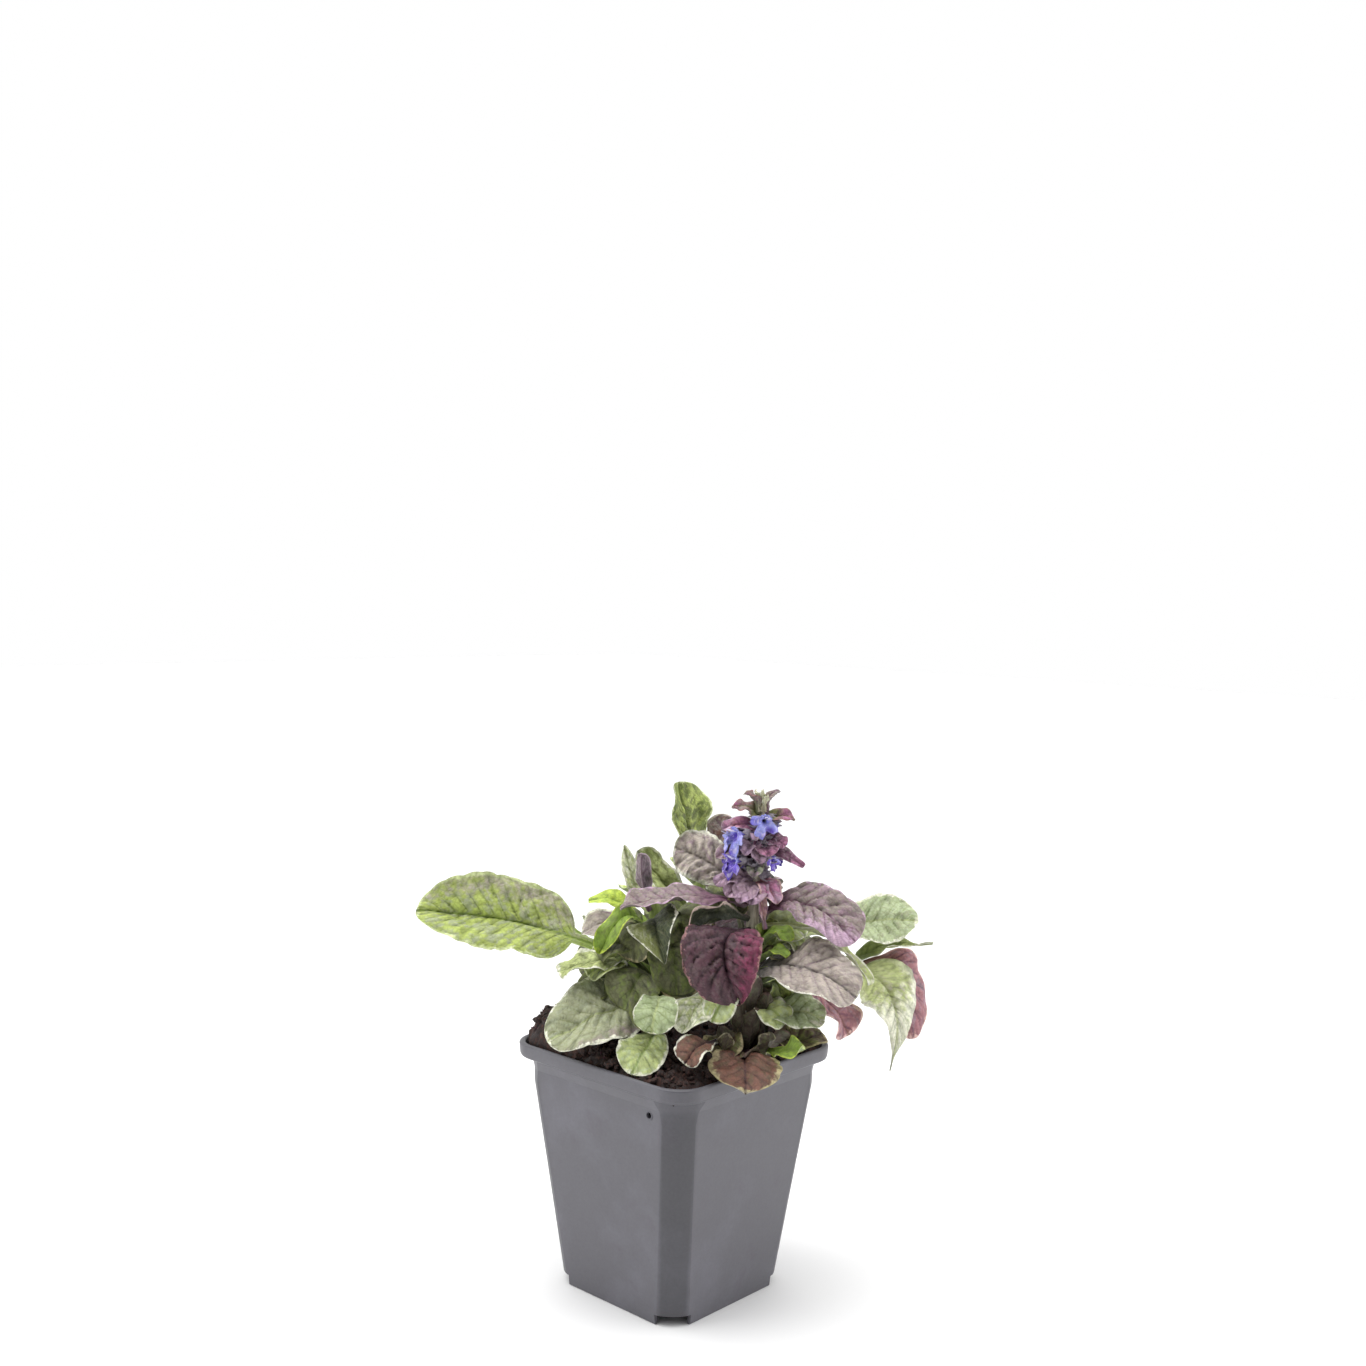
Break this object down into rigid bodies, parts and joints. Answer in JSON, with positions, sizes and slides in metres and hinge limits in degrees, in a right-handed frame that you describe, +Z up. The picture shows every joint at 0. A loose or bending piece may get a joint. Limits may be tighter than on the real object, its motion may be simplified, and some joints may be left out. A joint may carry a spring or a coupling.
{
  "type": "potted bugleweed plant",
  "caption": "Low spreading garden perennial with wavy burgundy and cream-green leaves and an upright spike of blue flowers, in a filled square nursery pot.",
  "frame": {"origin": "on the floor, under the middle of the pot and of the whole part's bounding box", "axes": "+Z up; the pot's flat sides face +-X and +-Y; the corner seen nearest in the picture points between +X and -Y"},
  "size_m": [0.147, 0.147, 0.1919],
  "materials": {
    "pot_plastic": "matte",
    "peat": "matte",
    "stem": "satin",
    "bract": "satin",
    "petal": "satin",
    "leaf": "satin"
  },
  "bodies": {
    "root": {"pot": "pot_plastic", "soil": "peat", "flower_stem": "bract", "lower_flowers": "petal", "middle_flowers": "petal", "upper_flowers": "petal", "left_shoot": "stem", "back_shoot": "stem", "right_shoot": "stem", "rear_shoot": "stem", "big_left_leaf": "leaf", "wavy_left_leaf": "leaf", "bright_arched_leaf": "leaf", "small_mauve_leaf": "leaf", "yellow_tip_leaf": "leaf", "upright_pale_leaf": "leaf", "folded_mauve_leaf": "leaf", "big_lower_left_leaf": "leaf", "pale_round_leaf": "leaf", "near_left_leaf": "leaf", "inner_left_leaf": "leaf", "inner_low_left_leaf": "leaf", "inner_near_leaf": "leaf", "shaded_hanging_leaf": "leaf", "tall_olive_leaf": "leaf", "top_leaf": "leaf", "behind_spike_leaf": "leaf", "crinkled_mauve_leaf": "leaf", "long_purple_leaf": "leaf", "dark_green_leaf": "leaf", "big_burgundy_leaf": "leaf", "quilted_purple_leaf": "leaf", "inner_right_leaf": "leaf", "inner_low_right_leaf": "leaf", "crinkled_grey_leaf": "leaf", "frilly_pink_leaf": "leaf", "pale_low_leaf": "leaf", "brown_olive_leaf": "leaf", "bright_small_leaf": "leaf", "leaf_over_rim": "leaf", "light_near_leaf": "leaf", "brown_spoon_leaf": "leaf", "small_upright_leaf": "leaf", "slender_right_leaf": "leaf", "far_right_leaf": "leaf", "slender_tip_leaf": "leaf", "pink_hanging_leaf": "leaf", "pale_hanging_leaf": "leaf", "right_back_leaf": "leaf", "right_low_leaf": "leaf", "back_upper_leaf": "leaf", "back_right_leaf": "leaf", "back_left_leaf": "leaf", "back_middle_leaf": "leaf", "back_low_right_leaf": "leaf", "back_low_leaf": "leaf", "rear_upper_leaf": "leaf", "rear_left_leaf": "leaf", "rear_low_left_leaf": "leaf", "rear_low_leaf": "leaf"}
  },
  "joints": []
}
